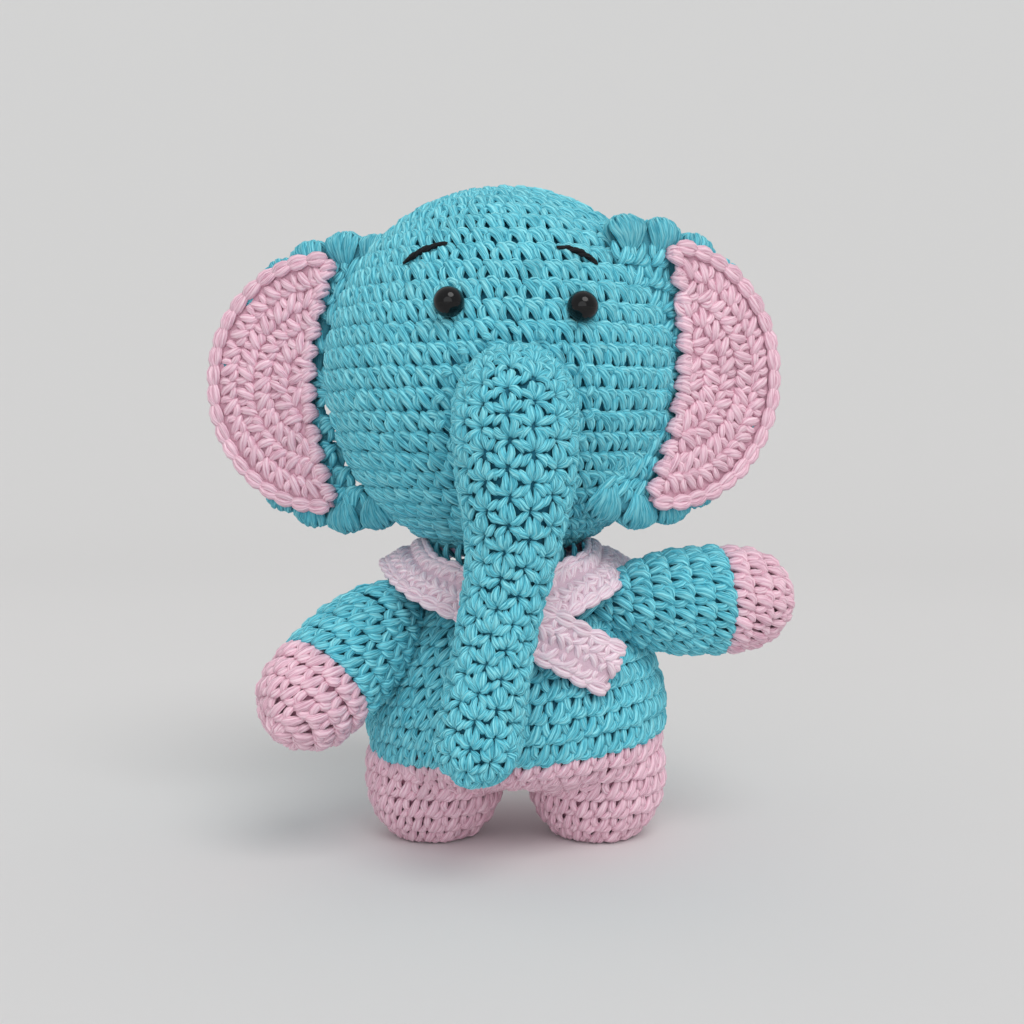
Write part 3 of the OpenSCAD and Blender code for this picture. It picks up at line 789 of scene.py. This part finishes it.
class Ear:
    """One ear's place: out leads away from the head along it, back is its rear, up is along its edge."""

    def __init__(self, side, at, turned, lean, shift, rise, size):
        self.size = size
        self.origin = np.array([
            HEAD_X + side * EAR_HINGE_R * math.cos(at), -EAR_HINGE_R * math.sin(at), EAR_Z + rise,
        ])
        flat = np.array([side * math.cos(turned), math.sin(turned), 0])
        self.back = np.array([-side * math.sin(turned), math.cos(turned), 0])
        self.out = flat * math.cos(lean) - np.array([0, 0, math.sin(lean)])
        self.up = flat * math.sin(lean) + np.array([0, 0, math.cos(lean)])
        self.origin = self.origin + shift * flat
        self.meet = abs(turned + side * at)

    def point(self, x, y, z):
        x, y, z = (np.asarray(c, float)[..., None] for c in np.broadcast_arrays(x, y, z))
        return self.origin + x * self.out + y * self.back + z * self.up

    def radius(self, layer):
        return layer["r"] * self.size

    def edge(self, layer, z):
        """How far out an ear layer starts at height z: the front's sewn edge, or the head for the back."""
        if layer is EAR_FRONT:
            return EAR_EDGE - layer["curve"] + np.sqrt(layer["curve"] ** 2 - np.square(z))
        head = HEAD_R * np.sqrt(np.maximum(1 - np.square(z / HEAD_H), 0.05)) + 1.2
        across = head**2 - (EAR_HINGE_R * math.sin(self.meet)) ** 2
        reach = EAR_HINGE_R * math.cos(self.meet) - np.sqrt(np.maximum(across, 0))
        return -np.minimum(reach, 15.0)

    def slab(self, layer, name, material, depth_shade, inset, share=0.55):
        """The cloth under an ear's stitches: a thin closed half moon, partly darkened by painted shade."""
        r = self.radius(layer) - inset
        z = np.linspace(-r * 0.985, r * 0.985, 60)[:, None]
        half = np.sqrt(r * r - z * z)
        x1 = half - layer["inward"]
        x0 = np.minimum(np.maximum(self.edge(layer, z) + inset * 0.6, -half - layer["inward"]), x1 - 0.3)
        theta = np.linspace(0, 2 * math.pi, 28, endpoint=False)[None]
        x = (x0 + x1) / 2 + (x1 - x0) / 2 * np.clip(1.15 * np.cos(theta), -1, 1)
        y = layer["y"] + layer["t"] / 2 + layer["t"] * share / 2 * np.clip(1.5 * np.sin(theta), -1, 1)
        points = self.point(x, y, z)
        yarn = Yarn()
        yarn.line(points if np.dot(np.cross(self.out, self.back), self.up) < 0 else points[:, ::-1], depth_shade)
        return yarn.mesh(name, material)

    def flat(self, layer, inset):
        """Width and length of a layer laid flat, in metres, and its area."""
        r = self.radius(layer) - inset
        z = np.linspace(-r, r, 400)
        half = np.sqrt(r * r - z * z)
        x1 = half - layer["inward"]
        width = x1 - np.maximum(self.edge(layer, z), -half - layer["inward"])
        area = float(np.sum(np.maximum(width, 0)) * (z[1] - z[0]))
        return (round(float(width.max()) * MM, 4), round(2 * r * MM, 4)), area * MM * MM

    def rows(self, layer, facing, height, reach):
        """The form and the stitches of an ear layer's half-round rows."""
        centre = self.point(-layer["inward"], layer["y"] + layer["t"] / 2, 0) + height * facing
        form = revolved([(0, 0), (self.radius(layer), 0)], centre, -facing, self.out)
        stitches = rounds(form, 0.2, reach * self.size, 4.3, 4.1)
        rel = where(form, stitches) - self.origin
        x, z = rel @ self.out, rel @ self.up
        return form, stitches[x > self.edge(layer, z) + 1.2]

    def rim(self, layer, radius, reach, facing, height):
        """Strip along an ear's round rim, from its lower corner to its upper one."""
        a = np.linspace(-reach, reach, 60)
        ray = np.cos(a)[:, None] * self.out + np.sin(a)[:, None] * self.up
        centre = self.point(-layer["inward"], layer["y"] + layer["t"] / 2, 0)
        points = centre + radius * self.size * ray + height * facing
        return Strip(points, ray, np.repeat(facing[None], 60, 0))

    def inner(self, layer, facing, height, top):
        """Strip along an ear's inner edge."""
        z = np.linspace(-top, top, 30) * self.size
        points = self.point(self.edge(layer, z), layer["y"] + layer["t"] / 2, z) + height * facing
        return Strip(points, np.repeat(self.out[None], 30, 0), np.repeat(facing[None], 30, 0))


def along_strip(strip, pitch, unit_size=False):
    """Stitches one after another along a strip, sized by it or in millimetres."""
    n = max(1, round(strip.length / pitch))
    step = strip.length / n
    wide = np.full(n, 1.0 if unit_size else step)
    return stitch_rows((np.arange(n) + 0.5) * step, 0, wide, 1, np.arange(n))


EARS = {
    "left": Ear(-1, -3 * DEG, 20 * DEG, 0, 0, 0, 0.97),
    "right": Ear(1, 23 * DEG, 28 * DEG, 6 * DEG, -3.6, 1.0, 0.94),
}
for side_name, ear in EARS.items():
    body = f"{side_name}_ear"
    node = f"{side_name}_ear_front"
    cloth = finish_piece(ear.slab(EAR_FRONT, f"{node}_cloth", PINK, -0.5, FRONT_INSET), body, [node])
    yarn = Yarn()
    form, stitches = ear.rows(EAR_FRONT, -ear.back, 1.2, 26.0)
    odd = stitches[:, 4] % 2 == 1
    lay(yarn, form, stitches[~odd], SINGLE, size=1.02, loose=1.0)
    lay(yarn, form, stitches[odd], mirrored(SINGLE), size=1.02, loose=1.0)
    strip = ear.rim(EAR_FRONT, 27.3, 93 * DEG, -ear.back, 0.9)
    lay(yarn, strip, along_strip(strip, 4.2), CHAIN, loose=1.0, inset=0.1)
    strip = ear.inner(EAR_FRONT, -ear.back, 1.0, 26.6)
    lay(yarn, strip, along_strip(strip, 4.3), ROW_END, loose=1.6, inset=0.3)
    knit = finish_piece(yarn.mesh(f"{node}_stitches", PINK), body, [node])
    flat, area = ear.flat(EAR_FRONT, FRONT_INSET)

    node = f"{side_name}_ear_back"
    cloth = finish_piece(ear.slab(EAR_BACK, f"{node}_cloth", BLUE, -0.6, BACK_INSET), None, [node])
    yarn = Yarn()
    form, stitches = ear.rows(EAR_BACK, ear.back, 1.5, 28.0)
    lay(yarn, form, stitches, SINGLE, size=1.05, loose=1.2)
    form, stitches = ear.rows(EAR_BACK, -ear.back, 1.5, 28.0)
    rel = where(form, stitches) - ear.origin
    beside_front = rel @ ear.out < ear.edge(EAR_FRONT, rel @ ear.up) + 1.5
    lay(yarn, form, stitches[beside_front], SINGLE, size=1.05, loose=1.2)
    strip = ear.rim(EAR_BACK, 29.3, 113 * DEG, ear.back, 0.1)
    lay(yarn, strip, along_strip(strip, 8.3, True), SHELL, loose=4.0, inset=0.0, lit=0.35)
    knit = finish_piece(yarn.mesh(f"{node}_stitches", BLUE), None, [node])
    flat, area = ear.flat(EAR_BACK, BACK_INSET)
    z = np.arange(-16, 17, 4.0)
    sewing = sewn(
        f"{side_name}_ear_stitching", BLUE, ear.point(-2.9, 1.2, z), ear.point(2.4, 2.6, z + 1.4),
        [ear.back] * len(z), 1.2, SEAM_HALF, [f"{side_name}_ear_seam"],
    )
    for obj in (cloth, knit, sewing):
        row_point(ear.point(-5, 0, 0))
        row_point(ear.point(3, 0, 0))
        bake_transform(obj)

# ------------------------------------------------------------------------------------- the scarf

def scarf_piece(name, points, across, normal, rows=3):
    """A crocheted strip: a thin cloth, rows of stitches on its faces and a chain along each edge."""
    body = "scarf_tail" if name == "scarf_tail" else "torso"
    strip = Strip(np.array(points, float), np.array(across, float), np.array(normal, float))
    n = max(8, round(strip.length / 2.0))
    u = np.linspace(0.6, strip.length - 0.6, n)[:, None]
    theta = np.linspace(0, 2 * math.pi, 20, endpoint=False)[None]
    v = (SCARF_W / 2 - 0.7) * np.clip(1.15 * np.cos(theta), -1, 1)
    h = 0.65 * np.clip(1.5 * np.sin(theta), -1, 1)
    slab = Yarn()
    # The scarf's cloth is partly darkened by painted shade.
    slab.line(strip.at(u, v, h)[0][:, ::-1], -0.5)
    cloth = finish_piece(slab.mesh(f"{name}_cloth", PALE), body, [name])
    yarn = Yarn()
    inner = SCARF_W - 3.2
    pitch = inner / rows
    count = max(2, round(strip.length / SCARF_STITCH))
    step = strip.length / count
    for face in (1, -1):
        for i in range(rows):
            u = (np.arange(count) + 0.5 + 0.18 * (i % 2)) * step
            stitches = stitch_rows(u, -inner / 2 + (i + 0.5) * pitch, step, pitch, i)
            stitches = stitches[stitches[:, 0] < strip.length - 0.3 * step]
            motif = SINGLE if i % 2 == 0 else mirrored(SINGLE, 1, -1)
            if face < 0:
                motif = [(half, [(x, y, -z - 0.9) for x, y, z in line]) for half, line in motif]
            lay(yarn, strip, stitches, motif, size=0.82, relief=0.7, loose=1.4, inset=-0.35 * face)
    for edge in (1, -1):
        stitches = along_strip(strip, SCARF_STITCH)
        stitches[:, 1] = edge * (SCARF_W / 2 - 1.1)
        lay(yarn, strip, stitches, CHAIN, size=0.92, loose=1.0, inset=-0.15)
    knit = finish_piece(yarn.mesh(f"{name}_stitches", PALE), body, [name])


slope = 28 * DEG        # the scarf's outer edge hangs down by this much
turn = np.arange(-168, -380, -20) * DEG
away = np.column_stack([np.cos(turn), np.sin(turn), 0 * turn])
upwards = np.array([0, 0, 1.0])
ring_points = [-1.4, 0, 60.3] + 21.8 * away
ring_across = away * math.cos(slope) - upwards * math.sin(slope)
ring_normal = away * math.sin(slope) + upwards * math.cos(slope)
points = [(5.0, -31.0, 49.6), (-4.0, -29.2, 52.4), (-12.0, -25.2, 55.2), (-19.0, -19.0, 57.6)]
across = [(-0.35, -0.2, -0.9), (-0.36, -0.25, -0.9), (-0.5, -0.36, -0.79), (-0.62, -0.5, -0.6)]
normal = [(0.2, -1, 0.05), (-0.25, -0.95, 0.2), (-0.35, -0.8, 0.5), (-0.35, -0.45, 0.8)]
points += ring_points.tolist()
across += ring_across.tolist()
normal += ring_normal.tolist()
points += [(18.0, -17.5, 58.0), (12.5, -23.5, 56.0), (6.5, -28.4, 53.4)]
across += [(0.55, -0.5, -0.66), (0.42, -0.4, -0.8), (0.4, -0.3, -0.86)]
normal += [(0.35, -0.5, 0.78), (0.3, -0.85, 0.45), (0.25, -0.95, 0.15)]
scarf_piece("scarf_wrap", points, across, normal)

drop, swing = 28 * DEG, 19 * DEG
level = np.array([math.cos(swing), math.sin(swing), 0])
tail_way = level * math.cos(drop) - upwards * math.sin(drop)
tail_face = np.array([math.sin(swing), -math.cos(swing), 0])
tail_across = np.cross(tail_face, tail_way)
tail_top = np.array([-0.5, -34.2, 51.0])
tail_points = [tail_top + tail_way * d for d in (0, 6, 12, 18, 25)]
scarf_piece("scarf_tail", tail_points, [tail_across] * 5, [tail_face] * 5)

# ------------------------------------------------------------------------ brows and sewn threads

def on_head(points, above):
    """Puts points on the head's fabric, and gives the normals there."""
    centre, size = np.array([HEAD_X, 0, HEAD_Z]), np.array([HEAD_R, HEAD_R, HEAD_H])
    rel = np.asarray(points, float) - centre
    rel = rel / np.linalg.norm(rel / size, axis=-1, keepdims=True)
    normal = unit(rel / size**2)
    return centre + rel + above * normal, normal


BROWS = {
    "left_brow": [(-20.2, -25, 118.4), (-18.1, -26, 120.6), (-15.7, -27, 122.0), (-12.4, -28, 122.9)],
    "right_brow": [(8.8, -30, 122.7), (11.8, -29, 122.4), (14.2, -28, 121.1), (16.2, -27, 118.7)],
}
for name, places in BROWS.items():
    yarn = Yarn(samples=16, sides=8)
    middle, normal = on_head(spread(places, yarn.samples), 0.75)
    side = np.cross(unit(np.gradient(middle, axis=0)), normal)
    wave = np.linspace(0, 3.2 * math.pi, yarn.samples)[:, None]
    strands = np.stack([
        middle + 0.2 * side * np.cos(wave + start) + 0.2 * normal * np.sin(wave + start)
        for start in (0, math.pi)
    ])
    normals, lit = np.broadcast_to(normal, strands.shape), np.full(strands.shape[:2], 0.3)
    yarn.add(strands, normals, 0.6, lit, twist=1.5, taper=0.3)
    finish_piece(yarn.mesh(f"{name}_thread", THREAD), "head", [name])

a = np.linspace(-0.15 * math.pi, 1.15 * math.pi, 13)
seam_middle = np.array([TRUNK_ROOT[0], -30, TRUNK_ROOT[2] + 2.4])
ring = seam_middle + 11.6 * np.column_stack([np.cos(a), 0 * a, np.sin(a)])
outer = seam_middle + 13.2 * np.column_stack([np.cos(a + 0.09), 0 * a, np.sin(a + 0.09)])
begins, normals = on_head(ring, 0.9)
ends, _ = on_head(outer, 0.1)
begins = begins + np.array([0, -1.6, 0])
sewn("trunk_stitching", BLUE, begins, ends, normals, SEAM_BOW, SEAM_HALF, ["trunk_seam"], "head")

a = np.linspace(0, 2 * math.pi, 30, endpoint=False)
away = np.column_stack([np.cos(a), np.sin(a), 0 * a])
low = [BODY_X, 0, 58.6] + 16.6 * away
high = [HEAD_X + 1, 0, 63.4] + 17.6 * np.column_stack([np.cos(a + 0.12), np.sin(a + 0.12), 0 * a])
sewn("neck_stitching", BLUE, low, high, away, 1.0, SEAM_HALF, ["neck_seam"], None,
     ("torso", "head", row_point((BODY_X, 0, 59.5)), row_point((BODY_X, 0, 62.5))))

SHOULDER_THREADS = {
    "left": (LEFT_ARM, (-0.3, -0.9, 0.3), [
        ((2.2, -6.0, 4.4), (6.4, -7.6, 1.4)), ((4.6, -7.4, 2.4), (8.4, -8.8, -0.4)),
    ]),
    "right": (RIGHT_ARM, (0.1, -1, 0.2), [
        ((-5.5, -7.8, -1.2), (0.5, -6.6, 3.0)), ((-3.6, -8.6, -2.6), (1.6, -7.4, 1.4)),
    ]),
}
for side_name, (arm, facing, threads) in SHOULDER_THREADS.items():
    begins, ends = (np.array(arm["shoulder"], float) + [thread[k] for thread in threads] for k in (0, 1))
    sewn(f"{side_name}_shoulder_stitching", BLUE, begins, ends, [facing] * 2, 0.8, 0.62,
         [f"{side_name}_shoulder_thread"], "torso")

# ------------------------------------------------------------------------- small parts from CAD

for name, material in (
    ("left_eye", BEAD), ("right_eye", BEAD), ("left_eye_washer", WASHER), ("right_eye_washer", WASHER),
    ("head_stuffing", WADDING), ("trunk_stuffing", WADDING), ("torso_stuffing", WADDING),
    ("left_leg_stuffing", WADDING), ("right_leg_stuffing", WADDING), ("left_arm_stuffing", WADDING),
    ("right_arm_stuffing", WADDING),
):
    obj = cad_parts[name]
    obj.data.materials.clear()
    obj.data.materials.append(material)

# ------------------------------------------------------------------------- floor, light, camera

def sun_light(name, place, strength, spread_angle, colour):
    """A wide soft light that shines from place towards the toy."""
    light = bpy.data.lights.new(name, "SUN")
    light.energy, light.angle, light.color = strength, spread_angle * DEG, colour
    obj = bpy.data.objects.new(name, light)
    bpy.context.scene.collection.objects.link(obj)
    x, y, z = place
    obj.rotation_euler = (math.atan2(math.hypot(x, y), z), 0, math.atan2(x, -y))


def floor_material():
    """Pale matt card that is a little darker towards the wall, so it looks even under the lights."""
    n = Nodes("floor")
    place = n.add("ShaderNodeTexCoord").outputs["Object"]
    noise = n.add("ShaderNodeTexNoise", {"Vector": place, "Scale": 3.0, "Detail": 4.0}).outputs["Fac"]
    away = n.range(n.add("ShaderNodeSeparateXYZ", {0: place}).outputs["Y"], -0.2, 2.0)
    near = n.mix(noise, linear((222, 221, 221)), linear((225, 224, 224)))
    n.set(n.shader.inputs["Base Color"], n.mix(away, near, linear((201, 201, 201))))
    n.set(n.shader.inputs["Roughness"], n.range(noise, 0.3, 0.7, 0.84, 0.96))
    return n.material


def backdrop():
    """A pale floor that curves up into a wall far behind the toy."""
    turn = np.linspace(0, math.pi / 2, 48)
    curve = [(0.6 + 1.6 * math.sin(t), 1.6 - 1.6 * math.cos(t)) for t in turn]
    points = [(-2.0, 0.0), *curve, (2.2, 4.0)]
    me = bpy.data.meshes.new("floor")
    verts = [(x, y, z) for y, z in points for x in (-3.0, 3.0)]
    faces = [(2 * i, 2 * i + 1, 2 * i + 3, 2 * i + 2) for i in range(len(points) - 1)]
    me.from_pydata(verts, [], faces)
    me.polygons.foreach_set("use_smooth", [True] * len(me.polygons))
    me.materials.append(floor_material())
    obj = bpy.data.objects.new("floor", me)
    bpy.context.scene.collection.objects.link(obj)


backdrop()
sun_light("key", (0.3, -0.75, 0.95), 1.15, 36, (1, 0.99, 0.975))
sun_light("fill", (-0.1, -1.0, 0.05), 0.75, 60, (0.97, 0.99, 1))
world = bpy.data.worlds.new("studio")
world.use_nodes = True
world.node_tree.nodes["Background"].inputs["Color"].default_value = (1, 1, 1, 1)
world.node_tree.nodes["Background"].inputs["Strength"].default_value = 0.58
bpy.context.scene.world = world
bpy.context.scene.view_settings.view_transform = "Standard"

camera_data = bpy.data.cameras.new("camera")
camera_data.lens, camera_data.sensor_width, camera_data.clip_start = 50, 36, 0.01
camera = bpy.data.objects.new("camera", camera_data)
bpy.context.scene.collection.objects.link(camera)
camera.location = row_point((0, -307, 87))
camera.rotation_euler = (90 * DEG - 3.3 * DEG, 0, 0)
bpy.context.scene.camera = camera
